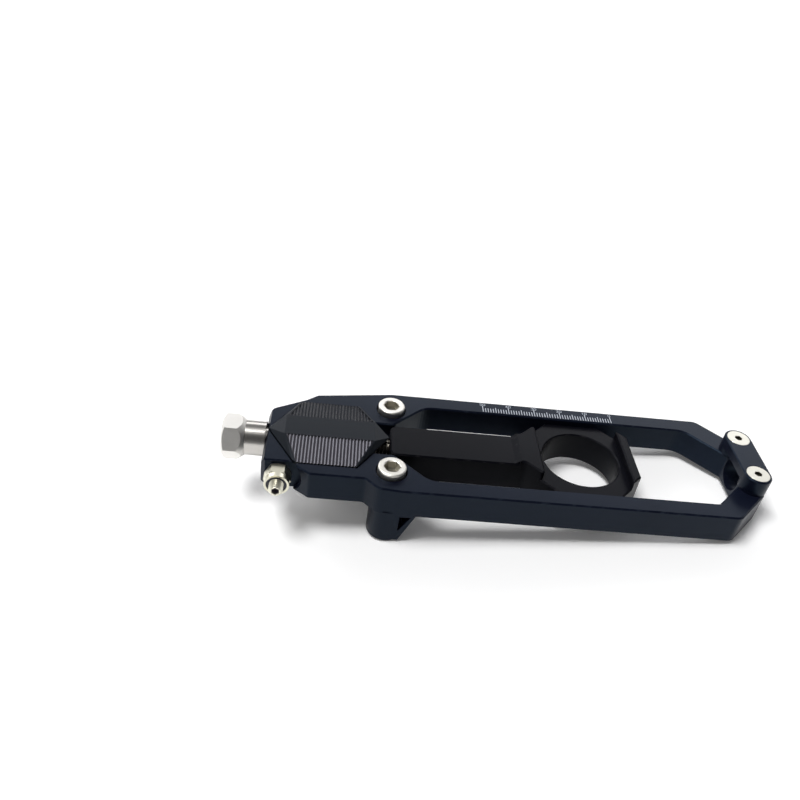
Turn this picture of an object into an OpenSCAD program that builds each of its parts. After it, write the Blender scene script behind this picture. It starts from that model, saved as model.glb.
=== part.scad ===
// Motorcycle chain adjuster: a slotted frame that guides an axle slider,
// drawn along by an adjusting screw that turns in the frame's head.
// X runs from the head to the link end, Y towards the arm with the scale,
// Z is the frame's face normal. The back of the frame is at z = 0.

/* [Frame] */
// Width of the frame over both arms
frame_w = 53.2; // [52:0.2:56]
// Thickness of the frame from back to face
frame_t = 11.5; // [11.3:0.1:12.2]
// Clear width of the slot between the arms
slot_w = 39.6; // [39.5:0.1:41]
// Distance from the boss screws to the outer face of the link end
frame_reach = 133.5; // [130:0.5:150]
// Thickness of the wall that closes the link end
end_wall = 6.5; // [6:0.1:8]
// Leg of the slanted outer corners of the link end
outer_cut = 13.1; // [12.5:0.1:14.5]
// Leg of the slot's slanted far corner at the link end
inner_cut = 13.5; // [12.5:0.1:13.7]
// Leg of the slot's slanted near corner at the link end
near_inner_cut = 12.2; // [11.5:0.1:13]
// Width of the small bevel along the frame's edges
edge_break = 0.5; // [0.2:0.1:0.8]

/* [Head] */
// Distance from the boss screws to the end face of the head
head_len = 44; // [43:0.1:50]
// Depth of the head's near flank inside the frame's side
near_step = 5.1; // [4.6:0.1:6]
// Depth of the nut's land inside the frame's side
nut_step = 10.5; // [9.6:0.1:10.6]
// Half width of the channel that takes the bar
channel_half = 8.2; // [8:0.1:8.6]
// Thickness of the head's end wall behind the channel
head_wall = 11.5; // [11:0.1:12.5]
// Width of the bevel along the top of the end face
end_bevel = 1; // [0.6:0.1:1.2]
// Distance of the lock screw from the head's end face
lock_back = 6; // [5.5:0.1:6.5]

/* [Lugs and boss screws] */
// Distance of each boss screw from its side of the frame
screw_margin = 9.8; // [9.4:0.1:10.1]
// Diameter of the boss screws' thread
screw_d = 6; // [5:0.5:6]
// Height of the screw heads above the face
head_stand = 2.1; // [1:0.1:3]
// Radius of each round lug
lug_r = 6.5; // [6:0.1:7]
// Height of the lugs behind the frame
lug_h = 12; // [8:0.1:14]

/* [Slider] */
// Distance from the boss screws to the middle of the axle eye
eye_x = 69.5; // [60:0.5:75]
// Diameter of the axle eye
eye_d = 28; // [24:0.5:29]
// Width of the eye block between the arms
block_w = 39; // [38.5:0.1:39.2]
// Leg of the eye block's slanted corners
block_cut = 9.3; // [8:0.1:10]
// Distance from the middle of the eye to the front of its block
block_front = 18.9; // [18:0.1:19.4]
// Depth of the eye block behind the frame's back
block_drop = 2.3; // [1:0.1:3]
// Width of the bar
bar_w = 15.7; // [15:0.1:15.8]
// Length of the bar from the middle of the eye to its end
bar_reach = 69.9; // [68:0.1:71]
// Width of the channel that keys the axle's head
key_w = 32; // [30:0.5:33]
// Depth of the keyed seat below the frame's face
seat_drop = 2.1; // [1:0.1:3]
// Height of the key's shoulders above the frame's face
shoulder_rise = 1.4; // [0.5:0.1:2.5]

/* [Adjusting screw] */
// Diameter of the adjusting screw's thread
thread_d = 8; // [7:0.5:8]
// Width across the flats of its head
hex_af = 14; // [12:0.5:15]
// Diameter of the collar outside the head
collar_d = 12.4; // [11:0.1:12.6]
// Distance from the boss screws to the screw's tip
screw_tip = 24; // [20:0.5:26]

/* [Link bridge] */
// Distance of the bridge screws from the outer face of the link end
bridge_back = 3.7; // [3.4:0.1:4.2]
// Distance of each bridge screw from the centre plane
bridge_y = 9.9; // [9.6:0.1:10.2]
// Radius of the bridge's round ends
bridge_r = 4.95; // [4.6:0.05:5.1]
// Height of the bridge above the face
bridge_h = 6.45; // [5:0.05:8]
// Clear height under the bridge's bar
bridge_gap = 2.7; // [2.4:0.1:3]
// Radius of the round notch through the end wall
notch_r = 5.8; // [5:0.1:6]

/* [Shield] */
// Half width of the shield
shield_half = 16.6; // [15:0.1:17]
// Height of the shield's middle band above the face
shield_h = 2.7; // [2:0.1:3.5]
// Height of the shield's rim above the face
shield_rim = 0.4; // [0.2:0.1:0.8]
// Spacing of the ribs across the shield's slopes
rib_pitch = 1.15; // [0.9:0.05:1.6]
// Depth of the grooves between the ribs
rib_depth = 0.4; // [0.2:0.05:0.5]

/* [Hidden] */
$fn = 64;
black = [0.07, 0.08, 0.11];
black_warm = [0.12, 0.11, 0.11];
steel = [0.80, 0.79, 0.76];
frame_half = frame_w / 2;
screw_y = frame_half - screw_margin;
slot_half = slot_w / 2;
face_z = frame_t;
near_flank = frame_half - near_step;
nut_land = frame_half - nut_step;
axis_z = face_z - 4.9;
run_gap = 0.05;
half_turn = 180;

// Slot: its head end narrows to the bar's channel, its back edges are relieved
slot_end_x = frame_reach - end_wall;
slot_head_x = 13;
slot_neck_x = 1;
slot_lead_x = -10;
slot_corner_r = 8;
slot_neck_r = 3;
relief_w = 1.7;
relief_h = 1.4;
channel_end_x = head_wall - head_len;
end_half_out = frame_half - outer_cut;
end_half_in = slot_half - inner_cut;
near_end_half_in = slot_half - near_inner_cut;

// Head outline
far_flank_x = 16.5 - head_len;
far_flank_y = frame_half - 4.6;
far_nick_x = 12.6 - head_len;
far_nick_y = frame_half - 7.9;
head_shoulder_x = 1.4 - head_len;
head_shoulder_y = frame_half - 14.4;
nut_ramp_x = 16.6 - head_len;
nut_land_x = 9.2 - head_len;
end_bevel_h = 2.5 * end_bevel;
end_corner = 1.4;
boss_curve_r = screw_margin - 0.6;
gusset_reach = 9.6;
gusset_foot = 4.4;
gusset_depth = 8;
lug_inset = 0.05;

// Shield recess in the face of the head
recess_depth = 0.8;
recess_gap = 0.35;
shield_end_x = 0.8 - head_len;
shield_tip_x = -0.8;
shield_rear_x = 11 - head_len;
shield_front_x = -11.8;
band_half = 5.1;
band_rear_x = 6.7 - head_len;
band_front_x = -6;
rib_margin = 0.6;

// Boss screws, the lock screw and the cover screws
head_d = 10;
head_h = 6;
head_socket_af = 5;
head_socket_depth = 3;
counterbore_d = 10.9;
counterbore_floor = face_z + head_stand - head_h;
lock_x = lock_back - head_len;
lock_z = axis_z - 0.6;
lock_d = 5;
lock_tip_d = 3.4;
lock_end_y = nut_land + 9.4;
lock_nut_af = 8;
lock_nut_hex_h = 4.6;
lock_nut_collar_h = 1.7;
lock_nut_collar_d = 8.5;
lock_insert_d = 7;
lock_socket_af = 2.5;
groove_d = 5.6;
groove_w = 3.8;
scoop_r = 8;
cover_screw_x = -24;
cover_screw_y = 10.9;
cover_screw_d = 3;
cover_screw_head_d = 5.6;
cover_screw_tip_z = face_z + 0.5;

// Slider
block_half = block_w / 2;
cut_sum = 2 * block_half - block_cut;
eye_break = 0.4;
bar_half = bar_w / 2;
bar_low_z = 0.05;
bar_low_break = 0.1;
bar_corner_r = 2.6;
bar_top_z = face_z - 0.25;
shoulder_edge = 24;
front_shoulder_inset = 0.4;
step_run = 1.5;
shoulder_nose_r = 0.8;
root_fillet = 3;

// Adjusting screw
hex_len = 5.2;
hex_end_x = -head_len - 15;
hex_r = hex_af / 2 / cos(30);
collar_start_x = -head_len - 7;
thread_start_x = channel_end_x + 0.5;

// Bridge screws
bridge_x = frame_reach - bridge_back;
flat_head_d = 8.3;
flat_screw_d = 4;
flat_head_h = (flat_head_d - flat_screw_d) / 2;
flat_rim = 0.3;
flat_screw_len = 14;
flat_socket_af = 2.5;
notch_z = face_z - 3.4;

// Unit vector, and the arc that rounds corner b between a and c
function unit(v) = v / norm(v);
function corner_arc(a, b, c, r, n) =
    let (
        u = unit(a - b),
        v = unit(c - b),
        half = acos(u * v) / 2,
        centre = b + unit(u + v) * r / sin(half),
        first = b + u * r / tan(half) - centre,
        last = b + v * r / tan(half) - centre,
        from = atan2(first[1], first[0]),
        turn = (atan2(last[1], last[0]) - from + 5 * half_turn) % (2 * half_turn) - half_turn
    )
    [for (k = [0:n]) centre + r * [cos(from + turn * k / n), sin(from + turn * k / n)]];

// Outline from [x, y, corner radius] points, in anticlockwise order
function xy(p) = [p[0], p[1]];
function rounded(p, n = 5) = [
    for (i = [0:len(p) - 1])
        each p[i][2] == 0
            ? [xy(p[i])]
            : corner_arc(xy(p[(i + len(p) - 1) % len(p)]), xy(p[i]),
                xy(p[(i + 1) % len(p)]), p[i][2], n)
];

// The same outline moved inwards by d
function inset_corner(a, b, c, d) =
    let (
        u = unit(b - a),
        v = unit(c - b),
        nu = [-u[1], u[0]],
        m = unit(nu + [-v[1], v[0]])
    )
    b + m * d / (m * nu);
function inset(p, d) = [
    for (i = [0:len(p) - 1])
        inset_corner(p[(i + len(p) - 1) % len(p)], p[i], p[(i + 1) % len(p)], d)
];

function lift(p, z) = [for (q = p) [q[0], q[1], z]];

// Middle of an outline's points
function middle(p) =
    let (sum_xy = [for (k = [0:len(p) - 1]) 1] * p)
    sum_xy / len(p);

// Skin over a stack of outlines, given as [inset, z] levels from the bottom up.
// Floor and roof are fans round the outline's middle.
module skin(p, levels) {
    n = len(p);
    top = len(levels) - 1;
    hub = middle(p);
    floor_hub = n * (top + 1);
    points = [
        for (l = levels) each lift(inset(p, l[0]), l[1]),
        [hub[0], hub[1], levels[0][1]],
        [hub[0], hub[1], levels[top][1]]
    ];
    caps = [
        for (i = [0:n - 1])
            each [
                [floor_hub, i, (i + 1) % n],
                [floor_hub + 1, top * n + (i + 1) % n, top * n + i]
            ]
    ];
    walls = [
        for (k = [0:top - 1], i = [0:n - 1])
            [k * n + i, (k + 1) * n + i, (k + 1) * n + (i + 1) % n, k * n + (i + 1) % n]
    ];
    polyhedron(points, concat(caps, walls));
}

// Plate with a small bevel along its lower and upper edges
module bevelled_plate(p, z0, z1, low, high) {
    skin(p, [[low, z0], [0, z0 + low], [0, z1 - high], [high, z1]]);
}

// Cutter for an opening with a bevel c at the face and a wider relief at the back
module relieved_opening(p, z0, z1, c, w, h) {
    over = 0.1;
    skin(p, [[-w * (1 + over / h), z0 - over], [0, z0 + h], [0, z1 - c], [-c - over, z1 + over]]);
}

module at_sides(y) {
    for (side = [-1, 1])
        translate([0, side * y, 0])
            children();
}

module along_x(x0, x1, r) {
    translate([x0, 0, 0])
        rotate([0, 90, 0])
            cylinder(h = x1 - x0, r = r);
}

// Cylinder along -Y, from y = -from to y = -to
module along_near(from, to, r) {
    translate([0, -from, 0])
        rotate([90, 0, 0])
            cylinder(h = to - from, r = r);
}

module hex_prism(af, h) {
    cylinder(h = h, r = af / 2 / cos(30), $fn = 6);
}

frame_outline = rounded([
    [frame_reach, -end_half_out, 2],
    [frame_reach, end_half_out, 2],
    [frame_reach - outer_cut, frame_half, 4],
    [0.5, frame_half, 6],
    [far_flank_x, far_flank_y, 1.5],
    [far_nick_x, far_nick_y, 1.5],
    [head_shoulder_x, head_shoulder_y, 1],
    [-head_len, head_shoulder_y - 2.4, 1],
    [-head_len, end_corner - nut_land, 0],
    [end_corner - head_len, -nut_land, 0],
    [nut_land_x, -nut_land, 1.5],
    [nut_ramp_x, -near_flank, 2],
    [-boss_curve_r + 0.4, -near_flank, 1.8],
    [-boss_curve_r * 0.48, -frame_half + 0.8, 5],
    [3, -frame_half, 6],
    [frame_reach - outer_cut, -frame_half, 4]
]);

slot_outline = rounded([
    [slot_lead_x, -channel_half, 0],
    [slot_neck_x, -channel_half, slot_neck_r],
    [slot_head_x, -slot_half, slot_corner_r],
    [slot_end_x - near_inner_cut, -slot_half, 2],
    [slot_end_x, -near_end_half_in, 1.5],
    [slot_end_x, end_half_in, 1.5],
    [slot_end_x - inner_cut, slot_half, 7],
    [slot_head_x, slot_half, slot_corner_r],
    [slot_neck_x, channel_half, slot_neck_r],
    [slot_lead_x, channel_half, 0]
]);

shield_outline = rounded([
    [shield_end_x, 0, 0],
    [shield_rear_x, -shield_half, 2.5],
    [shield_front_x, -shield_half, 0],
    [shield_tip_x, 0, 0],
    [shield_front_x, shield_half, 0],
    [shield_rear_x, shield_half, 2.5]
], 3);

module lug_gusset(side) {
    outer_y = frame_half - 2 * lug_inset;
    foot_z = 0.6 - lug_h;
    window_x = gusset_foot - 0.5;
    translate([0, side > 0 ? outer_y : gusset_depth - outer_y, 0])
        rotate([90, 0, 0])
            linear_extrude(gusset_depth)
                difference() {
                    polygon([
                        [0, 1],
                        [gusset_reach, 1],
                        [gusset_reach - 0.4, 0],
                        [gusset_foot, foot_z],
                        [0, foot_z]
                    ]);
                    polygon([
                        [window_x, -0.4],
                        [gusset_reach - 1.8, -0.4],
                        [window_x + 0.3, 0.6 * foot_z],
                        [window_x, 0.6 * foot_z]
                    ]);
                }
}

module frame() {
    color(black)
        difference() {
            union() {
                bevelled_plate(frame_outline, 0, face_z, edge_break, edge_break);
                at_sides(frame_half - lug_r - lug_inset)
                    translate([0, 0, -lug_h])
                        cylinder(h = lug_h + 1, r = lug_r);
                lug_gusset(-1);
                lug_gusset(1);
            }
            relieved_opening(slot_outline, 0, face_z, edge_break, relief_w, relief_h);
            // Channel for the bar
            translate([channel_end_x, -channel_half, -1])
                cube([slot_lead_x - channel_end_x + 1, 2 * channel_half, frame_t + 2]);
            // Bevel along the top of the end face
            translate([0, frame_half, face_z])
                rotate([90, 0, 0])
                    linear_extrude(frame_w)
                        polygon([
                            [-head_len - 1, 1],
                            [-head_len - 1, -end_bevel_h],
                            [-head_len, -end_bevel_h],
                            [end_bevel - head_len, 0],
                            [end_bevel - head_len, 1]
                        ]);
            // Recess under the shield
            translate([0, 0, face_z - recess_depth])
                linear_extrude(recess_depth + 1)
                    polygon(inset(shield_outline, -recess_gap));
            // Bore for the adjusting screw
            translate([0, 0, axis_z])
                along_x(-head_len - 1, channel_end_x + 1, thread_d / 2 + run_gap);
            // Boss screws
            at_sides(screw_y) {
                translate([0, 0, -lug_h - 1])
                    cylinder(h = frame_t + lug_h + 2, r = screw_d / 2 + run_gap);
                translate([0, 0, counterbore_floor])
                    cylinder(h = head_h, r = counterbore_d / 2);
            }
            // Lock screw hole and the seat of its nut
            translate([lock_x, 0, lock_z]) {
                along_near(2, frame_half, lock_d / 2 + run_gap);
                along_near(nut_land, frame_half, scoop_r);
            }
            // Cover screws, sunk into the back
            at_sides(cover_screw_y)
                translate([cover_screw_x, 0, 0]) {
                    translate([0, 0, -1])
                        cylinder(h = frame_t + 1, r = cover_screw_d / 2 + run_gap);
                    cover_sink(0.1);
                }
            // Notch through the end wall and the bridge's tapped holes
            translate([0, 0, notch_z])
                along_x(slot_end_x - 2, frame_reach + 1, notch_r);
            at_sides(bridge_y)
                translate([bridge_x, 0, -1])
                    cylinder(h = frame_t + 2, r = flat_screw_d / 2 + run_gap);
        }
}

// Countersink at the back face, wider than the screw's head by the clearance
module cover_sink(clear) {
    sink_h = (cover_screw_head_d - cover_screw_d) / 2;
    translate([0, 0, -1])
        cylinder(h = 1 + clear, r = cover_screw_head_d / 2 + clear);
    translate([0, 0, clear])
        cylinder(h = sink_h, r1 = cover_screw_head_d / 2 + clear, r2 = cover_screw_d / 2 + clear);
}

// One sloping, ribbed side of the shield: sawtooth grooves cut along the slope
module rib_grooves() {
    run = shield_half - band_half;
    drop = shield_h - shield_rim;
    slope = atan(drop / run);
    first = shield_end_x;
    count = ceil((shield_tip_x - shield_end_x) / rib_pitch);
    teeth = [
        for (k = [0:count - 1])
            each [
                [first + k * rib_pitch, 0],
                [first + (k + 0.5) * rib_pitch, -rib_depth]
            ]
    ];
    intersection() {
        translate([0, -band_half, face_z + shield_h])
            rotate([90 + slope, 0, 0])
                translate([0, 0, -2])
                    linear_extrude(run + 5)
                        polygon(concat(teeth, [[first + count * rib_pitch, 0],
                            [first + count * rib_pitch, 3], [first, 3]]));
        translate([0, 0, face_z - recess_depth])
            linear_extrude(shield_h + recess_depth + 1)
                polygon([
                    [band_rear_x + rib_margin, -band_half],
                    [band_front_x - rib_margin, -band_half],
                    [shield_front_x - rib_margin, -shield_half],
                    [shield_rear_x + rib_margin, -shield_half]
                ]);
    }
}

module shield_cover() {
    seat_z = face_z - recess_depth;
    color(black_warm)
        difference() {
            union() {
                translate([0, 0, seat_z])
                    linear_extrude(recess_depth + shield_rim)
                        polygon(shield_outline);
                hull() {
                    translate([0, 0, face_z])
                        linear_extrude(shield_rim)
                            polygon(shield_outline);
                    translate([band_rear_x, -band_half, face_z])
                        cube([band_front_x - band_rear_x, 2 * band_half, shield_h]);
                }
            }
            rib_grooves();
            mirror([0, 1, 0])
                rib_grooves();
            // Relief over the bar
            translate([channel_end_x, -channel_half, seat_z - 1])
                cube([-channel_end_x + 5, 2 * channel_half, recess_depth + 1]);
            // Tapped holes
            at_sides(cover_screw_y)
                translate([cover_screw_x, 0, seat_z - 1])
                    cylinder(h = cover_screw_tip_z - seat_z + 1.1, r = cover_screw_d / 2 + run_gap);
        }
}

module cover_screw(side) {
    sink_h = (cover_screw_head_d - cover_screw_d) / 2;
    color(steel)
        translate([cover_screw_x, side * cover_screw_y, 0])
            difference() {
                union() {
                    translate([0, 0, 0.1])
                        cylinder(h = sink_h, r1 = cover_screw_head_d / 2, r2 = cover_screw_d / 2);
                    translate([0, 0, 1])
                        cylinder(h = cover_screw_tip_z - 1, r = cover_screw_d / 2);
                }
                translate([0, 0, -0.5])
                    hex_prism(2, 1.5);
            }
}

block_outline = rounded([
    [-block_half, block_cut - block_half, 0],
    [block_cut - block_half, -block_half, 1],
    [block_half - block_cut, -block_half, 1],
    [block_front, block_front - cut_sum, 1],
    [block_front, cut_sum - block_front, 1],
    [block_half - block_cut, block_half, 1],
    [block_cut - block_half, block_half, 1],
    [-block_half, block_half - block_cut, 0]
]);

module slider() {
    seat_z = face_z - seat_drop;
    top_z = face_z + shoulder_rise;
    inner = key_w / 2;
    front_inner = inner - front_shoulder_inset;
    root_x = -block_half - 2.6;
    color(black_warm)
        translate([eye_x, 0, 0])
            difference() {
                union() {
                    // Eye block up to the keyed seat
                    bevelled_plate(block_outline, -block_drop, seat_z, edge_break, edge_break);
                    // Bar
                    bevelled_plate(rounded([
                        [-bar_reach, -bar_half, bar_corner_r],
                        [-inner - 1, -bar_half, 0],
                        [-inner - 1, bar_half, 0],
                        [-bar_reach, bar_half, bar_corner_r]
                    ]), bar_low_z, bar_top_z, bar_low_break, edge_break);
                    // Slope from the bar up to the rear shoulder
                    translate([0, bar_half - edge_break, 0])
                        rotate([90, 0, 0])
                            linear_extrude(bar_w - 2 * edge_break)
                                polygon([
                                    [-shoulder_edge - step_run, bar_top_z],
                                    [-shoulder_edge, bar_top_z - 1],
                                    [edge_break - shoulder_edge, bar_top_z - 1],
                                    [edge_break - shoulder_edge, top_z]
                                ]);
                    // Rear shoulder with the fillets into the bar
                    bevelled_plate(rounded([
                        [-shoulder_edge, -bar_half, 0],
                        [root_x, -bar_half, root_fillet],
                        [-inner, inner - cut_sum, shoulder_nose_r],
                        [-inner, cut_sum - inner, shoulder_nose_r],
                        [root_x, bar_half, root_fillet],
                        [-shoulder_edge, bar_half, 0]
                    ]), bar_low_z, top_z, edge_break, edge_break);
                    // Front shoulder
                    bevelled_plate([
                        [front_inner, front_inner - cut_sum],
                        [block_front, block_front - cut_sum],
                        [block_front, cut_sum - block_front],
                        [front_inner, cut_sum - front_inner]
                    ], bar_low_z, top_z, edge_break, edge_break);
                }
                // Axle eye with its edges broken
                translate([0, 0, -block_drop - 1])
                    cylinder(h = top_z + block_drop + 2, r = eye_d / 2);
                translate([0, 0, seat_z - eye_break])
                    cylinder(h = eye_break + 1, r1 = eye_d / 2, r2 = eye_d / 2 + eye_break + 1);
                translate([0, 0, -block_drop - 1])
                    cylinder(h = eye_break + 1, r1 = eye_d / 2 + eye_break + 1, r2 = eye_d / 2);
                // Tapped bore along the bar
                translate([0, 0, axis_z])
                    along_x(-bar_reach - 1, 0, thread_d / 2);
            }
}

module adjuster_screw() {
    shank_r = thread_d / 2 - run_gap;
    color(steel)
        translate([0, 0, axis_z])
            union() {
                // Hexagonal head with turned ends
                intersection() {
                    translate([hex_end_x, 0, 0])
                        rotate([0, 90, 0])
                            rotate([0, 0, 30])
                                hex_prism(hex_af, collar_start_x - hex_end_x);
                    rotate([0, 90, 0])
                        rotate_extrude()
                            polygon([
                                [0, hex_end_x],
                                [hex_r - 1.9, hex_end_x],
                                [hex_r + 0.1, hex_end_x + 1.1],
                                [hex_r + 0.1, hex_end_x + hex_len],
                                [collar_d / 2, collar_start_x],
                                [0, collar_start_x]
                            ]);
                }
                along_x(collar_start_x - 0.01, -head_len, collar_d / 2);
                difference() {
                    along_x(-head_len - 1, thread_start_x, shank_r);
                    // Groove for the lock screw's tip
                    difference() {
                        along_x(lock_x - groove_w / 2, lock_x + groove_w / 2, shank_r + 1);
                        along_x(lock_x - groove_w, lock_x + groove_w, groove_d / 2);
                    }
                }
                along_x(thread_start_x - 1, screw_tip - 1, shank_r);
                translate([screw_tip - 1, 0, 0])
                    rotate([0, 90, 0])
                        cylinder(h = 1, r1 = shank_r, r2 = shank_r - 0.8);
            }
}

module lock_set_screw() {
    tip_y = groove_d / 2 + 0.1;
    color(steel)
        translate([lock_x, 0, lock_z])
            difference() {
                union() {
                    along_near(tip_y + 2, lock_end_y - 0.4, lock_d / 2);
                    along_near(tip_y, tip_y + 2.5, lock_tip_d / 2);
                    translate([0, 0.4 - lock_end_y, 0])
                        rotate([90, 0, 0])
                            cylinder(h = 0.4, r1 = lock_d / 2, r2 = lock_d / 2 - 0.4);
                }
                translate([0, 2.6 - lock_end_y, 0])
                    rotate([90, 0, 0])
                        hex_prism(lock_socket_af, 4);
            }
}

module lock_nut() {
    hex_end = nut_land + lock_nut_hex_h;
    nut_r = lock_nut_af / 2 / cos(30);
    color(steel)
        translate([lock_x, 0, lock_z])
            difference() {
                union() {
                    intersection() {
                        translate([0, -nut_land, 0])
                            rotate([90, 0, 0])
                                hex_prism(lock_nut_af, lock_nut_hex_h);
                        translate([0, -nut_land, 0])
                            rotate([90, 0, 0])
                                rotate_extrude()
                                    polygon([
                                        [0, 0],
                                        [nut_r - 0.6, 0],
                                        [nut_r, 0.4],
                                        [nut_r, lock_nut_hex_h - 0.5],
                                        [nut_r - 0.8, lock_nut_hex_h],
                                        [0, lock_nut_hex_h]
                                    ]);
                    }
                    along_near(hex_end - 0.1, hex_end + lock_nut_collar_h, lock_nut_collar_d / 2);
                }
                along_near(nut_land - 1, hex_end + 3, lock_d / 2 + run_gap);
                along_near(hex_end - 0.6, hex_end + 3, lock_insert_d / 2);
            }
}

module lock_nut_insert() {
    hex_end = nut_land + lock_nut_hex_h;
    color([0.16, 0.17, 0.20])
        translate([lock_x, 0, lock_z])
            difference() {
                along_near(hex_end - 0.6, hex_end + lock_nut_collar_h - 0.35, lock_insert_d / 2);
                along_near(hex_end - 2, hex_end + 3, lock_d / 2);
            }
}

module boss_screw(side) {
    color(steel)
        translate([0, side * screw_y, counterbore_floor])
            difference() {
                union() {
                    rotate_extrude()
                        polygon([
                            [0, 0],
                            [head_d / 2, 0],
                            [head_d / 2, head_h - 0.7],
                            [head_d / 2 - 0.7, head_h],
                            [0, head_h]
                        ]);
                    translate([0, 0, -counterbore_floor - lug_h + 1])
                        cylinder(h = counterbore_floor + lug_h, r = screw_d / 2);
                }
                translate([0, 0, head_h - head_socket_depth])
                    hex_prism(head_socket_af, head_socket_depth + 1);
                translate([0, 0, head_h - 0.3])
                    cylinder(h = 0.4, r1 = head_socket_af / 2, r2 = head_socket_af / 2 + 0.5);
            }
}

module end_bridge() {
    top_z = face_z + bridge_h;
    color(black)
        difference() {
            union() {
                at_sides(bridge_y)
                    translate([bridge_x, 0, face_z])
                        rotate_extrude()
                            polygon([
                                [0, 0],
                                [bridge_r, 0],
                                [bridge_r, bridge_h - 0.4],
                                [bridge_r - 0.4, bridge_h],
                                [0, bridge_h]
                            ]);
                bevelled_plate([[bridge_x - bridge_r, -bridge_y], [bridge_x + bridge_r, -bridge_y],
                    [bridge_x + bridge_r, bridge_y], [bridge_x - bridge_r, bridge_y]],
                    face_z + bridge_gap, top_z, 0.1, 0.4);
            }
            at_sides(bridge_y)
                translate([bridge_x, 0, 0]) {
                    cylinder(h = top_z + 1, r = flat_screw_d / 2 + run_gap);
                    translate([0, 0, top_z - flat_rim - flat_head_h])
                        cylinder(h = flat_head_h, r1 = flat_screw_d / 2 + run_gap,
                            r2 = flat_head_d / 2 + run_gap);
                    translate([0, 0, top_z - flat_rim])
                        cylinder(h = 1, r = flat_head_d / 2 + run_gap);
                }
        }
}

module bridge_screw(side) {
    top_z = face_z + bridge_h;
    color(steel)
        translate([bridge_x, side * bridge_y, top_z])
            difference() {
                rotate_extrude()
                    polygon([
                        [0, 0],
                        [flat_head_d / 2 - 0.1, 0],
                        [flat_head_d / 2, -0.1],
                        [flat_head_d / 2, -flat_rim],
                        [flat_screw_d / 2, -flat_rim - flat_head_h],
                        [flat_screw_d / 2, -flat_screw_len],
                        [0, -flat_screw_len]
                    ]);
                translate([0, 0, -1.6])
                    hex_prism(flat_socket_af, 3);
            }
}

module cover_screw_far() { cover_screw(1); }
module cover_screw_near() { cover_screw(-1); }
module boss_screw_far() { boss_screw(1); }
module boss_screw_near() { boss_screw(-1); }
module bridge_screw_far() { bridge_screw(1); }
module bridge_screw_near() { bridge_screw(-1); }

frame();
shield_cover();
cover_screw_far();
cover_screw_near();
slider();
adjuster_screw();
lock_set_screw();
lock_nut();
lock_nut_insert();
boss_screw_far();
boss_screw_near();
end_bridge();
bridge_screw_far();
bridge_screw_near();
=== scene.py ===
# %% [markdown]
# # A motorcycle chain adjuster, dressed for a studio picture
# The shapes come from the packed part, as solids in metres. This lesson gives
# each of them a finish: black anodised aluminium, turned steel and plated
# screws. It adds what is too fine for the solids, such as the screw threads
# and the engraved scale, and then builds the floor, the lights and the camera.

# %% Load the part
import math
import bmesh
import bpy
from mathutils import Matrix, Vector


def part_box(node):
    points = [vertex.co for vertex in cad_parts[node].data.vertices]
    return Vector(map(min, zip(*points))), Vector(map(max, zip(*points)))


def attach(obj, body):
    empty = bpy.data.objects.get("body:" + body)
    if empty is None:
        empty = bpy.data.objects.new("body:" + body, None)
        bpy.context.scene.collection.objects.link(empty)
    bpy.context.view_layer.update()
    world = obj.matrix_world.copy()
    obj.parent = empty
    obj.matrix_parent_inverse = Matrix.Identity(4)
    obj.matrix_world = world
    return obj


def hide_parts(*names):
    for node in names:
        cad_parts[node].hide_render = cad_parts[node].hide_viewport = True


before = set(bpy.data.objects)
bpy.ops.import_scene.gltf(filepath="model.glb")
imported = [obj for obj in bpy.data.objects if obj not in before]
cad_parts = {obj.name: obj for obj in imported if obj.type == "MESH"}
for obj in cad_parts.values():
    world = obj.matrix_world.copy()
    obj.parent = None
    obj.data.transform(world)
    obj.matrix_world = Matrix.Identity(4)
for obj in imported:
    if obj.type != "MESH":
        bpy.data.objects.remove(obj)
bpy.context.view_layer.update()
MM = 0.001

# %% [markdown]
# ## Shader maths as plain expressions
# A material in Blender is a graph of nodes. Wiring it by hand is long, so a
# small class wraps one socket. Adding or multiplying two wrapped values makes
# the Math node that does it. Every other node comes from one method, `node`,
# which sets the node's settings first and then its inputs.

# %% A wrapped socket
class Value:
    def __init__(self, finish, socket):
        self.finish = finish
        self.socket = socket

    def math(self, operation, *others, clamp=False):
        return self.finish.node(
            "Math", {"operation": operation, "use_clamp": clamp}, self, *others)

    def __add__(self, other): return self.math("ADD", other)
    __radd__ = __add__
    def __sub__(self, other): return self.math("SUBTRACT", other)
    def __rsub__(self, other): return self.math("MULTIPLY", -1.0) + other
    def __mul__(self, other): return self.math("MULTIPLY", other)
    __rmul__ = __mul__
    def __truediv__(self, other): return self.math("DIVIDE", other)
    def __gt__(self, other): return self.math("GREATER_THAN", other)
    def __lt__(self, other): return self.math("LESS_THAN", other)
    def __abs__(self): return self.math("ABSOLUTE")

    def clamped(self):
        return self.math("ADD", 0.0, clamp=True)

    def ramp(self, low, high):
        """0 below low, 1 above high, and a straight line between."""
        return ((self - low) / (high - low)).clamped()


print("operators:", [n for n in vars(Value) if n.startswith("__")][:6], "...")

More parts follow.
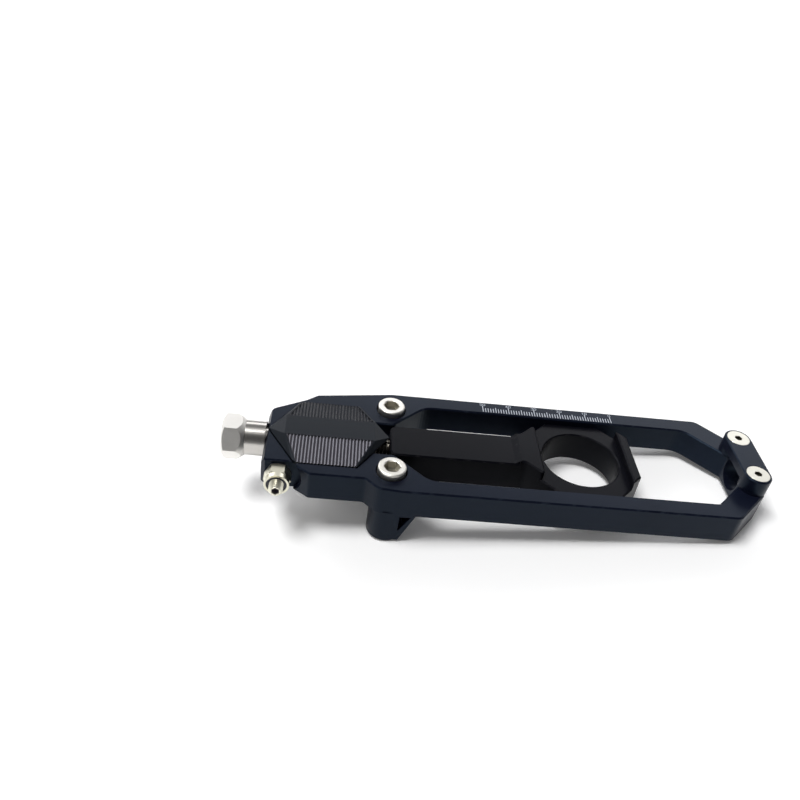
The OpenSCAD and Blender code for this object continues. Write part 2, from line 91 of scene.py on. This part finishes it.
# %% A graph makes and joins nodes, for a material or for the world
class Graph:
    def __init__(self, tree):
        self.tree = tree

    def link(self, value, socket):
        if isinstance(value, Value):
            self.tree.links.new(value.socket, socket)
        elif value is not None:
            socket.default_value = value

    def node(self, kind, settings=None, *values, out=0, **named):
        """Settings first, then sockets by place or by name. Names outputs with out."""
        made = self.tree.nodes.new("ShaderNode" + kind)
        for key, value in (settings or {}).items():
            if key == "stops":
                set_stops(made.color_ramp.elements, value)
            else:
                setattr(made, key, value)
        for place, value in enumerate(values):
            self.link(value, made.inputs[place])
        for name, value in named.items():
            self.link(value, made.inputs[name.replace("_", " ")])
        if isinstance(out, tuple):
            return [Value(self, made.outputs[name]) for name in out]
        return Value(self, made.outputs[out]) if made.outputs else made

    def colour_mix(self, factor, first, second):
        """A Mix node has a factor, then sockets for numbers and vectors, then two colours."""
        skipped = [None] * 5
        return self.node("Mix", {"data_type": "RGBA"}, factor, *skipped, first, second, out=2)

    def parts(self, vector):
        return self.node("SeparateXYZ", None, vector, out=("X", "Y", "Z"))

    def seen(self):
        """1 where the eye looks, straight, through a mirror or through glass."""
        rays = ("Is Camera Ray", "Is Glossy Ray", "Is Transmission Ray")
        return self.node("LightPath", out=rays)


def set_stops(elements, stops):
    """Each stop is a place from 0 to 1 and its colour."""
    while len(elements) < len(stops):
        elements.new(0.5)
    for element, (place, colour) in zip(elements, stops):
        element.position = place
        element.color = colour


print("a graph can make", [n for n in vars(Graph) if not n.startswith("__")])

# %% A finish is a material under construction
class Finish(Graph):
    def __init__(self, name, **constants):
        self.material = bpy.data.materials.new(name)
        self.material.use_nodes = True
        super().__init__(self.material.node_tree)
        self.shader = self.tree.nodes["Principled BSDF"]
        self.set(**constants)

    def set(self, **inputs):
        for name, value in inputs.items():
            self.link(value, self.shader.inputs[name.replace("_", " ")])

    def point(self):
        """Where a point of the surface is, in the object's frame, in millimetres."""
        spot = self.node("TexCoord", out="Object")
        return self.node("VectorMath", {"operation": "SCALE"}, spot, Scale=1 / MM)

    def facing(self):
        """The surface's own direction, in the object's frame."""
        return self.node("TexCoord", out="Normal")

    def noise(self, point, scale, detail=2.0, stretch=None):
        if stretch:
            point = self.node("VectorMath", {"operation": "MULTIPLY"}, point, stretch)
        return self.node("TexNoise", None, point, Scale=scale, Detail=detail)

    def bump(self, height, depth_mm):
        return self.node("Bump", None, Height=height, Strength=1.0, Distance=depth_mm * MM)


def grey(level):
    return (level, level, level, 1.0)


print("a finish starts from the Principled shader")

# %% [markdown]
# ## Black anodised aluminium
# The frame and the bridge are milled, blasted and dyed blue-black. The dye
# sits in a clear oxide skin, so the surface is a dark colour under a thin
# gloss, not a bare metal. Three things make it look real: a slow drift in the
# dye, a fine blasted grain, and the small bevels, painted paler in rubbed
# patches, partly as wear where the skin is thinner and partly as a painted
# highlight along the edge. The colour is also painted paler towards the link
# end: painted light, for how the light falls along the arms.

# %% Anodised finish
PAINTED_LIGHT_ALONG_ARMS = (20.0, 140.0)      # mm, where the colour is painted paler: painted light along the arms
BEVEL_LEAN = (0.45, 0.93)           # a bevel's own direction, along Z


def anodised(name, deep, pale, wear_and_highlight_colour, roughness, shine, tint):
    f = Finish(name, IOR=1.5, Specular_IOR_Level=shine, Specular_Tint=tint)
    point = f.point()
    x, _, _ = f.parts(point)
    _, _, nz = f.parts(f.facing())
    # The dye drifts at random, and the colour is painted paler towards the link end: painted
    # light.
    dye_drift_and_painted_light = f.noise(point, 0.04, 3.0).ramp(0.3, 0.7) * 0.45 + x.ramp(*PAINTED_LIGHT_ALONG_ARMS) * 0.55
    grain = f.noise(point, 5.0, 3.0)
    rubbed = f.noise(point, 0.35, 4.0, stretch=(1.0, 2.2, 1.0)).ramp(0.52, 0.8)
    # Bevels are painted paler where rubbed: partly wear, partly a painted highlight along the
    # edge.
    bevel = (abs(nz) > BEVEL_LEAN[0]) * (abs(nz) < BEVEL_LEAN[1])
    wear_and_painted_highlight = bevel * rubbed
    f.set(Base_Color=f.colour_mix(wear_and_painted_highlight * 0.7, f.colour_mix(dye_drift_and_painted_light, deep, pale), wear_and_highlight_colour))
    f.set(Metallic=wear_and_painted_highlight * 0.25)
    f.set(Roughness=roughness + grain * 0.10 + rubbed * 0.04)
    f.set(Normal=f.bump(grain, 0.012))
    return f.material


frame_black = anodised(
    "anodised_black",
    deep=(0.0026, 0.0032, 0.0085, 1.0), pale=(0.0066, 0.0086, 0.0190, 1.0),
    wear_and_highlight_colour=(0.03, 0.038, 0.055, 1.0),
    roughness=0.27, shine=0.18, tint=(0.48, 0.74, 1.0, 1.0))
slider_black = anodised(
    "anodised_slider",
    deep=(0.0018, 0.0019, 0.0032, 1.0), pale=(0.0040, 0.0042, 0.0070, 1.0),
    wear_and_highlight_colour=(0.03, 0.028, 0.03, 1.0),
    roughness=0.29, shine=0.085, tint=(0.88, 0.93, 1.0, 1.0))
print("made", frame_black.name, "and", slider_black.name)

# %% [markdown]
# ## The ribbed cover
# Its slopes carry fine ribs, cut after the part was blasted, so their flanks
# are smoother and a little more metallic than the flat band in the middle.
# The flanks are the only faces that lean steeply along X and hardly along Y,
# so the surface's own direction picks them out, with no painted map. On the
# far slope the cut is painted duller and less metallic: painted shade, for
# the light there.

# %% Cover finish
CUT_METAL = (0.070, 0.067, 0.078, 1.0)
FAR_SLOPE_PAINTED_SHADE = 0.85               # how much of the cut's brightness is taken away there, as painted shade


def ribbed_cover():
    f = Finish("anodised_cover", IOR=1.5, Specular_IOR_Level=0.18,
               Specular_Tint=(0.85, 0.92, 1.0, 1.0))
    point = f.point()
    _, y, _ = f.parts(point)
    nx, ny, nz = f.parts(f.facing())
    grain = f.noise(point, 5.0, 3.0)
    tool_lines = f.noise(point, 1.0, 2.0, stretch=(9.0, 0.25, 0.25))
    cut = (abs(nx) > 0.5) * (abs(ny) < 0.25) * (nz > 0.3)
    # On the far slope (y above 0) the cut is painted darker and less metallic: painted shade.
    bright = cut * (1.0 - (y > 0.0) * FAR_SLOPE_PAINTED_SHADE)
    plain = f.colour_mix(grain, (0.0030, 0.0048, 0.0080, 1.0), (0.0052, 0.0072, 0.011, 1.0))
    f.set(Base_Color=f.colour_mix(bright, plain, CUT_METAL))
    f.set(Metallic=bright * 0.45)
    f.set(Roughness=0.30 + grain * 0.08 - cut * 0.12 + tool_lines * 0.05)
    f.set(Normal=f.bump(grain + tool_lines * cut, 0.010))
    return f.material


cover_black = ribbed_cover()
print("made", cover_black.name)

# %% [markdown]
# ## Steel
# The adjusting screw is turned, so fine rings run round it and stretch every
# reflection into a stripe. The small screws are plated: a little warmer,
# softer and almost even. In both, the metal's colour is the reflection's
# colour, so Metallic is 1 and the base colour is pale. A socket gets painted
# shade: a bore inside a head gets a darker colour, every point that is close
# enough to the socket's middle, and a flat head is darker below its rim.
# Where the adjusting screw runs inside the head, it is painted dark as well,
# as shade.

# %% Turned steel
HEAD_BACK = -51.2                   # mm, where the hexagonal head ends
PAINTED_SHADE_FROM = -31.0                  # mm, where the screw is inside the head; from here it is painted dark, as shade


def turned_steel():
    f = Finish("steel_turned", Metallic=1.0)
    point = f.point()
    x, _, _ = f.parts(point)
    rings = f.noise(point, 1.0, 3.0, stretch=(14.0, 0.02, 0.02))
    cloud = f.noise(point, 0.25, 3.0)
    head = x < HEAD_BACK
    # Inside the head the screw is painted dark: painted shade.
    painted_shade_inside_head = x > PAINTED_SHADE_FROM
    bright = f.colour_mix(cloud, (0.72, 0.705, 0.67, 1.0), (0.82, 0.805, 0.77, 1.0))
    shank = f.colour_mix(rings, (0.44, 0.42, 0.40, 1.0), (0.60, 0.585, 0.55, 1.0))
    metal = f.colour_mix(head, shank, bright)
    f.set(Base_Color=f.colour_mix(painted_shade_inside_head, metal, (0.20, 0.19, 0.17, 1.0)))
    f.set(Roughness=0.18 + rings * 0.08 + head * 0.16 + cloud * 0.04)
    f.set(Normal=f.bump(rings, 0.0015))
    return f.material


turned = turned_steel()
print("made", turned.name)

# %% Plated steel
# The colour of painted shade low in a sunk head.
PAINTED_SOCKET_SHADE = (0.10, 0.09, 0.07, 1.0)


def plated_steel(name, warm, roughness, sunk_below=None, bore=None):
    """Painted shade below a height, or in a bore with a middle, a reach and a colour inside.
    """
    f = Finish(name, Metallic=1.0)
    point = f.point()
    cloud = f.noise(point, 0.5, 3.0)
    grain = f.noise(point, 7.0, 2.0)
    marks = f.noise(point, 1.6, 4.0, stretch=(1.0, 1.0, 0.4)).ramp(0.58, 0.75)
    duller = tuple(0.82 * c for c in warm[:3]) + (1.0,)
    colour = f.colour_mix(cloud * 0.5 + marks * 0.3, warm, duller)
    if sunk_below is not None:
        # Below the given height the colour is painted shade.
        _, _, z = f.parts(point)
        colour = f.colour_mix((z < sunk_below) * 0.85, colour, PAINTED_SOCKET_SHADE)
    # In the bore the colour is painted shade.
    if bore is not None:
        folded = f.node("VectorMath", {"operation": "ABSOLUTE"}, point)
        away = f.node("VectorMath", {"operation": "DISTANCE"}, folded, bore["middle"], out=1)
        colour = f.colour_mix(away < bore["reach"], colour, bore["inside"])
    f.set(Base_Color=colour)
    f.set(Roughness=roughness + grain * 0.08 + marks * 0.12)
    f.set(Normal=f.bump(grain, 0.003))
    return f.material


def middle_of(node):
    """The middle of a node's box, with every sign dropped, in millimetres."""
    low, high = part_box(node)
    return [abs(a + b) / 2 / MM for a, b in zip(low, high)]


print("the boss screws stand", round(middle_of("boss_screw_far")[1], 2), "mm off the middle")

# %% Steel for each kind of screw
BOSS_BORE, LOCK_BORE = 1.75, 1.85   # mm from a screw's end to its bore's middle
FLAT_HEAD_RIM = 0.25                # mm, below it a flat head is painted with shade

boss_x, boss_y, _ = middle_of("boss_screw_far")
boss_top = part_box("boss_screw_far")[1].z / MM
# The colour inside each bore is painted shade in the socket.
screw_steel = plated_steel(
    "steel_screws", warm=(0.88, 0.86, 0.80, 1.0), roughness=0.32,
    bore={"middle": (boss_x, boss_y, boss_top - BOSS_BORE),
          "reach": 3.22, "inside": (0.52, 0.50, 0.44, 1.0)})
bridge_steel = plated_steel(
    "steel_flat_heads", warm=(0.70, 0.685, 0.61, 1.0), roughness=0.28,
    sunk_below=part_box("bridge_screw_near")[1].z / MM - FLAT_HEAD_RIM)
small_steel = plated_steel("steel_small", warm=(0.74, 0.72, 0.59, 1.0), roughness=0.26)
lock_x, _, lock_z = middle_of("lock_set_screw")
lock_tip = -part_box("lock_set_screw")[0].y / MM
# The lock screw's bore is painted dark inside: painted shade in its socket.
lock_steel = plated_steel(
    "steel_small_threaded", warm=(0.82, 0.80, 0.67, 1.0), roughness=0.32,
    bore={"middle": (lock_x, lock_tip - LOCK_BORE, lock_z),
          "reach": 1.7, "inside": (0.26, 0.24, 0.28, 1.0)})
print("made", screw_steel.name, bridge_steel.name, small_steel.name, lock_steel.name)

# %% Locking ring and engraving finishes
def grained(name, dark, light, size, roughness, spread, ior, shine):
    """A dull finish whose colour and roughness follow one grain."""
    f = Finish(name, IOR=ior, Specular_IOR_Level=shine)
    grain = f.noise(f.point(), size, 3.0)
    f.set(Base_Color=f.colour_mix(grain, dark, light))
    f.set(Roughness=roughness + grain * spread)
    f.set(Normal=f.bump(grain, 0.01))
    return f.material


ring_black = grained(
    "nylon", dark=(0.020, 0.022, 0.035, 1.0), light=(0.045, 0.050, 0.070, 1.0),
    size=3.0, roughness=0.42, spread=0.12, ior=1.53, shine=0.4)
mark_white = grained(
    "engraving", dark=(0.42, 0.46, 0.54, 1.0), light=(0.62, 0.66, 0.72, 1.0),
    size=6.0, roughness=0.45, spread=0.2, ior=1.5, shine=0.2)
print("made", ring_black.name, mark_white.name)

# %% Give every solid its finish
FINISHES = {
    "frame": frame_black,
    "end_bridge": frame_black,
    "shield_cover": cover_black,
    "slider": slider_black,
    "adjuster_screw": turned,
    "lock_set_screw": lock_steel,
    "lock_nut": small_steel,
    "lock_nut_insert": ring_black,
    "cover_screw_far": small_steel,
    "cover_screw_near": small_steel,
    "boss_screw_far": screw_steel,
    "boss_screw_near": screw_steel,
    "bridge_screw_far": bridge_steel,
    "bridge_screw_near": bridge_steel,
}
for name, finish in FINISHES.items():
    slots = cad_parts[name].material_slots
    for place in slots:
        place.link = "OBJECT"
        place.material = finish
    print(name, "->", finish.name, "in", len(slots), "slot")

# %% [markdown]
# ## The engraved scale
# The far arm carries a millimetre scale, 0 to 50, that shows where the axle
# sits. Real engraving is about 0.1 mm deep and shows as pale, broken metal.
# Cutting it into the frame would add thousands of faces for a depth that
# nobody sees, so each line is a sliver that stands a hundredth of a
# millimetre out of the face.

# %% Pieces from lists of corners
def mesh_object(name, make, finish, closed=True):
    mesh = bpy.data.meshes.new(name)
    work = bmesh.new()
    make(work)
    if closed:
        bmesh.ops.recalc_face_normals(work, faces=work.faces[:])
    work.to_mesh(mesh)
    work.free()
    mesh.materials.append(finish)
    made = bpy.data.objects.new(name, mesh)
    bpy.context.scene.collection.objects.link(made)
    return made


def piece(name, make, finish, body):
    made = mesh_object(name, make, finish)
    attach(made, body)
    print(name, len(made.data.polygons), "faces on", body)
    return made


def sliver(work, a, b, width, low, high):
    """A flat bar from a to b, all in millimetres."""
    a, b = Vector(a), Vector(b)
    along = (b - a).normalized()
    side = Vector((-along.y, along.x)) * width / 2
    ends = [a - side, b - side, b + side, a + side]
    rings = [[work.verts.new((p.x * MM, p.y * MM, z * MM)) for p in ends] for z in (low, high)]
    work.faces.new(rings[0][::-1])
    work.faces.new(rings[1])
    for k in range(4):
        n = (k + 1) % 4
        work.faces.new((rings[0][k], rings[0][n], rings[1][n], rings[1][k]))


# %% Digits as strokes in a box 1 wide and 1.5 high
STROKES = {
    "0": [[(0.25, 0), (0.75, 0), (1, 0.3), (1, 1.2), (0.75, 1.5),
           (0.25, 1.5), (0, 1.2), (0, 0.3), (0.25, 0)]],
    "1": [[(0.15, 1.15), (0.55, 1.5), (0.55, 0)]],
    "2": [[(0, 1.2), (0.25, 1.5), (0.75, 1.5), (1, 1.2), (1, 0.95), (0, 0), (1, 0)]],
    "3": [[(0, 1.5), (1, 1.5), (0.5, 0.9), (0.8, 0.9), (1, 0.65),
           (1, 0.25), (0.75, 0), (0.25, 0), (0, 0.25)]],
    "4": [[(0.8, 0), (0.8, 1.5), (0, 0.45), (1, 0.45)]],
    "5": [[(1, 1.5), (0.1, 1.5), (0, 0.85), (0.7, 0.95), (1, 0.65),
           (1, 0.25), (0.75, 0), (0.25, 0), (0, 0.2)]],
}
print("strokes for the digits", "".join(STROKES))

# %% The marks and their numbers
FACE_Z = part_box("frame")[1].z / MM
ZERO_X = 85.2
TICK_FOOT = 20.62
TICK_TOPS = {"short": 22.9, "fifth": 23.6, "tenth": 24.25}
DIGIT_FOOT = 24.38
DIGIT_SIZE = 0.80
LINE, STROKE = 0.27, 0.17
LAST_MARK = 50
SUNK, PROUD = 0.05, 0.012           # mm, below and above the face
DIGIT_STEP = 1.45 * DIGIT_SIZE


def scale_marks(work):
    low, high = FACE_Z - SUNK, FACE_Z + PROUD
    for mark in range(LAST_MARK + 1):
        x = ZERO_X - mark
        rank = "tenth" if mark % 10 == 0 else "fifth" if mark % 5 == 0 else "short"
        sliver(work, (x, TICK_FOOT), (x, TICK_TOPS[rank]), LINE, low, high)
    for number in range(0, LAST_MARK + 1, 10):
        text = str(number)
        left = ZERO_X - number - (DIGIT_STEP * (len(text) - 1) + DIGIT_SIZE) / 2
        for place, digit in enumerate(text):
            for path in STROKES[digit]:
                spots = [(left + place * DIGIT_STEP + px * DIGIT_SIZE,
                          DIGIT_FOOT + py * DIGIT_SIZE) for px, py in path]
                for a, b in zip(spots, spots[1:]):
                    sliver(work, a, b, STROKE, low, high)


marks = piece("scale_marks", scale_marks, mark_white, "frame")

# %% [markdown]
# ## The screw threads
# The solid model draws a thread as a plain shaft, which is what a simulation
# needs. Seen from behind, the M8 thread of the adjusting screw shows in the
# open channel, and the tip of the M5 lock screw stands out of its nut. A
# thread is one profile swept along a helix: each ring of points is the same
# circle, and how deep a point sits depends on its height along the screw and
# its angle. The rest of each screw is kept from the solid, cut off square.

# %% A skin over rings
def loft(work, rings, spot):
    """Joins closed rings of (radius, height) points and caps both ends."""
    made = []
    for ring in rings:
        turns = [math.tau * n / len(ring) for n in range(len(ring))]
        made.append([
            work.verts.new([c * MM for c in spot(r * math.cos(t), r * math.sin(t), height)])
            for t, (r, height) in zip(turns, ring)])
    for a, b in zip(made, made[1:]):
        for n in range(len(a)):
            m = (n + 1) % len(a)
            work.faces.new((a[n], a[m], b[m], b[n]))
    work.faces.new(made[0][::-1])
    work.faces.new(made[-1])


print("loft is ready")

# %% What is kept of a solid, and the thread's profile
def kept_solid(work, node, cut, keep):
    """The part of a solid behind a plane, closed again where it was cut."""
    work.from_mesh(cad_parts[node].data)
    made = bmesh.ops.bisect_plane(
        work, geom=work.verts[:] + work.edges[:] + work.faces[:],
        plane_co=[c * MM for c in cut], plane_no=keep, clear_outer=True)
    rim = [e for e in made["geom_cut"] if isinstance(e, bmesh.types.BMEdge)]
    bmesh.ops.holes_fill(work, edges=rim)


RUN_OUT, CHAMFER, HALF_GROOVE = 0.6, 0.8, 0.42      # in pitches
RINGS_A_TURN = 8


def thread_rings(start, end, shaft, pitch, depth, around=40):
    """Rings of (radius, height) whose groove turns once in each pitch."""
    length = abs(end - start)
    steps = int(length / pitch * RINGS_A_TURN)
    rings = []
    for k in range(steps + 1):
        along, height = length * k / steps, start + (end - start) * k / steps
        left = length - along
        fade = min(1.0, along / pitch, left / (RUN_OUT * pitch) + 0.2)
        chamfer = max(0.0, CHAMFER * pitch - left) * 0.8
        ring = []
        for n in range(around):
            phase = (along / pitch - n / around) % 1.0
            groove = max(0.0, 1.0 - abs(phase - 0.5) / HALF_GROOVE)
            ring.append((shaft - depth * groove * fade - chamfer, height))
        rings.append(ring)
    return rings


print("a turn of thread takes", RINGS_A_TURN, "rings")

# %% The adjusting screw
AXIS_Z = 6.6
THREAD_FROM, THREAD_TO = -31.8, 24.0
M8 = {"shaft": 3.95, "pitch": 1.25, "depth": 0.62}


def threaded_screw(work):
    kept_solid(work, "adjuster_screw", (THREAD_FROM, 0, 0), (1, 0, 0))
    loft(work, thread_rings(THREAD_FROM, THREAD_TO, **M8),
         lambda across, up, height: (height, across, AXIS_Z + up))


adjuster = piece("adjuster_threaded", threaded_screw, turned, "adjuster")
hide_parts("adjuster_screw")

# %% [markdown]
# ## Sockets
# Two M6 socket head cap screws are the brightest things on the part, so they
# are looked at most. A head is a profile turned round its axis. Only the
# socket is not round: there each point keeps its angle and moves to the edge
# of a hexagon, and the ring above it becomes the chamfer of the socket. The
# lock screw ends in a smaller socket of the same kind.

# %% A hexagonal socket as two rings
AROUND = 48


def socket_rings(size, rim, floor):
    """Two rings of (radius, height) on a hexagon that measures size across."""
    rings = []
    for height in (rim, floor):
        rings.append([
            (size / 2 / math.cos(math.radians(360 * n / AROUND % 60 - 30)), height)
            for n in range(AROUND)])
    return rings


print("a socket has", AROUND, "points around")

# %% The boss screws
SHANK_END, HEAD_TOP = [corner.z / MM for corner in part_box("boss_screw_near")]
HEAD_HEIGHT = 6.0
KEY, KEY_RIM, KEY_DEPTH = 5.0, 0.22, 3.0
SEAT_Z = HEAD_TOP - HEAD_HEIGHT
OUTLINE = [
    (2.5, SHANK_END), (2.98, SHANK_END + 0.5), (2.98, SEAT_Z),
    (4.6, SEAT_Z), (4.92, SEAT_Z + 0.3), (4.92, HEAD_TOP - 0.62),
    (4.84, HEAD_TOP - 0.33), (4.66, HEAD_TOP - 0.12), (4.40, HEAD_TOP),
    (3.02, HEAD_TOP)]


def cap_screw(middle_y):
    def make(work):
        rings = [[point] * AROUND for point in OUTLINE]
        rings += socket_rings(KEY, HEAD_TOP - KEY_RIM, HEAD_TOP - KEY_DEPTH)
        loft(work, rings, lambda across, up, height: (across, middle_y + up, height))
    return make


for side in ("near", "far"):
    low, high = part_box("boss_screw_" + side)
    screw = piece("boss_cap_screw_" + side, cap_screw((low.y + high.y) / 2 / MM),
                  screw_steel, "frame")
    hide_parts("boss_screw_" + side)

# %% The lock screw
LOCK_THREAD = 4.5                   # mm of thread at the tip
LOCK_KEY, LOCK_KEY_RIM, LOCK_KEY_DEPTH = 2.5, 0.15, 2.0
LOCK_END = 1.62                     # mm, the radius of the flat end round the socket
M5 = {"shaft": 2.42, "pitch": 0.8, "depth": 0.46}


def lock_screw(work):
    low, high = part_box("lock_set_screw")
    middle_x, middle_z = (low.x + high.x) / 2 / MM, (low.z + high.z) / 2 / MM
    tip, start = low.y / MM, low.y / MM + LOCK_THREAD
    kept_solid(work, "lock_set_screw", (0, start, 0), (0, -1, 0))
    rings = thread_rings(start, tip, **M5, around=AROUND)
    rings.append([(LOCK_END, tip)] * AROUND)
    rings += socket_rings(LOCK_KEY, tip + LOCK_KEY_RIM, tip + LOCK_KEY_DEPTH)
    loft(work, rings, lambda across, up, height: (middle_x + up, height, middle_z + across))


lock = piece("lock_screw_threaded", lock_screw, lock_steel, "frame")
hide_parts("lock_set_screw")

# %% [markdown]
# ## Floor
# The part lies on its two round lugs and on the edge of the link end, so it
# leans by about five degrees. Here the part keeps its own frame and the floor
# leans instead. The floor is pale paper. To the eye, through Light Path, it is
# a little brighter than the lamps make it, so that it reads as white while
# the shadow under the part still falls on it.

# %% Paper
FLOOR_GLOW = 0.07


def paper():
    f = Finish("floor_paper", Roughness=0.9, IOR=1.4, Specular_IOR_Level=0.1,
               Emission_Strength=1.0)
    fibre = f.noise(f.point(), 0.4, 3.0)
    sheet = f.colour_mix(fibre, (0.78, 0.78, 0.775, 1.0), (0.80, 0.80, 0.80, 1.0))
    straight, mirrored, through = f.seen()
    looked_at = straight.math("MAXIMUM", mirrored).math("MAXIMUM", through)
    f.set(Base_Color=f.colour_mix(looked_at, sheet, grey(1.0)))
    f.set(Emission_Color=f.colour_mix(looked_at, grey(0.0), grey(FLOOR_GLOW)))
    return f.material


floor_paper = paper()
print("made", floor_paper.name)

# %% Floor
HALF_SHEET = 3.0                    # metres
LUG_EDGE = (6.5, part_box("frame")[0].z / MM)
LINK_EDGE = (133.0, 0.0)
FLOOR_DROP = 0.02                   # mm, so that the lugs just clear it
lean = math.atan2(LINK_EDGE[1] - LUG_EDGE[1], LINK_EDGE[0] - LUG_EDGE[0])


def floor_sheet(work):
    corners = [(-HALF_SHEET, -HALF_SHEET), (HALF_SHEET, -HALF_SHEET),
               (HALF_SHEET, HALF_SHEET), (-HALF_SHEET, HALF_SHEET)]
    work.faces.new([
        work.verts.new((x * math.cos(lean), y, x * math.sin(lean))) for x, y in corners])


floor = mesh_object("floor", floor_sheet, floor_paper, closed=False)
floor.location = (LUG_EDGE[0] * MM, 0, (LUG_EDGE[1] - FLOOR_DROP) * MM)
print("the floor leans by", round(math.degrees(lean), 2), "degrees")

# %% [markdown]
# ## Studio light
# One soft lamp hangs overhead, a little to the left, and throws a short
# shadow. The world gives the rest, and it is made of levels of grey for each
# height of the sky. Black gloss is only a picture of what it reflects, so the
# levels are the real tool here: the face of the part mirrors a band from 30
# to 42 degrees up behind it, and that band falls from bright to dark, so the
# far arm shines and the near arm stays deep. The world is white only to an eye
# that looks at it straight or through glass; mirrored rays see the levels.
# Counting mirrored rays as well was tried at the end, and it moved the tones
# measured on the black parts by five levels of 255 at most. A small lamp low
# on the left lights one flank of each rib and leaves the other dark.

# %% Levels of the sky
BEHIND_PART = [
    (0.0, 0.22), (0.22, 0.25), (0.36, 1.2), (0.46, 3.2), (0.54, 3.2),
    (0.595, 1.5), (0.63, 0.5), (0.66, 0.22), (0.9, 0.2), (1.0, 0.5)]
BEHIND_CAMERA = [
    (0.0, 0.36), (0.12, 0.28), (0.35, 0.12), (0.7, 0.08), (0.9, 0.12), (1.0, 0.5)]
AT_THE_SIDES = 0.25                 # how much of it is left there


def sky_levels(graph, height, levels):
    """A grey level for each height of the sky, from the horizon to the zenith."""
    stops = [(place, (level, level, level * 1.02, 1.0)) for place, level in levels]
    return graph.node("ValToRGB", {"stops": stops}, height)


print("levels behind the part:", len(BEHIND_PART), "behind the camera:", len(BEHIND_CAMERA))

# %% World
world = bpy.data.worlds.new("studio")
bpy.context.scene.world = world
world.use_nodes = True
world.node_tree.nodes.clear()
sky = Graph(world.node_tree)
sx, sy, sz = sky.parts(sky.node("TexCoord", out="Generated"))
level = sky.colour_mix(
    sy.ramp(-0.25, 0.25), sky_levels(sky, sz, BEHIND_CAMERA), sky_levels(sky, sz, BEHIND_PART))
sides = sky.colour_mix(abs(sx).ramp(0.48, 0.66), grey(1.0), grey(AT_THE_SIDES))
level = sky.node("VectorMath", {"operation": "MULTIPLY"}, level, sides)
straight, _, through = sky.seen()
shown = sky.colour_mix(straight.math("MAXIMUM", through), level, grey(1.0))
sky.node("OutputWorld", None, sky.node("Background", None, shown))
print("world", world.name, "with", len(world.node_tree.nodes), "nodes")

# %% Lamps
MIDDLE = Vector((0.04, 0.0, 0.0))


def hang(name, light, place):
    """Puts a lamp in its place and turns it to the middle of the part."""
    made = bpy.data.objects.new(name, light)
    made.location = place
    made.rotation_mode = "QUATERNION"
    made.rotation_quaternion = (MIDDLE - made.location).to_track_quat("-Z", "Y")
    bpy.context.scene.collection.objects.link(made)
    print(name, round(light.energy, 2), "at", [round(c, 2) for c in place])


def soft_box(name, place, size, radiance, tint=(1.0, 1.0, 1.0)):
    """A square lamp whose face has the given brightness."""
    light = bpy.data.lights.new(name, "AREA")
    light.shape = "SQUARE"
    light.size = size
    light.energy = radiance * math.pi * size * size
    light.color = tint
    hang(name, light, place)


overhead = bpy.data.lights.new("overhead", "SUN")
overhead.energy = 2.3
overhead.angle = math.radians(25.0)
hang("overhead", overhead, place=MIDDLE + Vector((-0.38, -0.03, 0.92)))
soft_box("rib_light", place=Vector((-0.70, 0.50, 0.36)), size=0.30, radiance=6.0)
soft_box("front_left", place=Vector((-0.75, -0.5, 0.55)), size=0.4, radiance=1.6,
         tint=(1.0, 0.98, 0.95))

# %% [markdown]
# ## Camera
# The camera's place was found by fitting it to edges and circles of the real
# part whose sizes are known. Its rows say where its right, down and forward
# directions lie in the part's frame. Blender's camera looks along its own -Z
# and has +Y up, so two of the rows change sign.

# %% Camera
RIGHT = Vector((0.9923513, -0.0148023, 0.1225551))
DOWN = Vector((0.0888604, -0.6034835, -0.7924087))
FORWARD = Vector((0.0856894, 0.7972381, -0.5975523))
EYE = Vector((-22.273, -215.640, 179.076 + FACE_Z)) * MM
FOCAL_LENGTH_PX, PICTURE_PX = 792.8, 800
lens = bpy.data.cameras.new("camera")
lens.sensor_width = 36.0
lens.lens = FOCAL_LENGTH_PX / PICTURE_PX * lens.sensor_width
lens.clip_start, lens.clip_end = 0.005, 20.0
camera = bpy.data.objects.new("camera", lens)
bpy.context.scene.collection.objects.link(camera)
columns = Matrix((RIGHT, -DOWN, -FORWARD)).transposed()
camera.rotation_mode = "QUATERNION"
camera.rotation_quaternion = columns.to_quaternion()
camera.location = EYE
bpy.context.scene.camera = camera
print("camera at", [round(c, 4) for c in EYE], "lens", round(lens.lens, 2), "mm")

# %% The view transform, and the end
bpy.context.scene.view_settings.view_transform = "Standard"
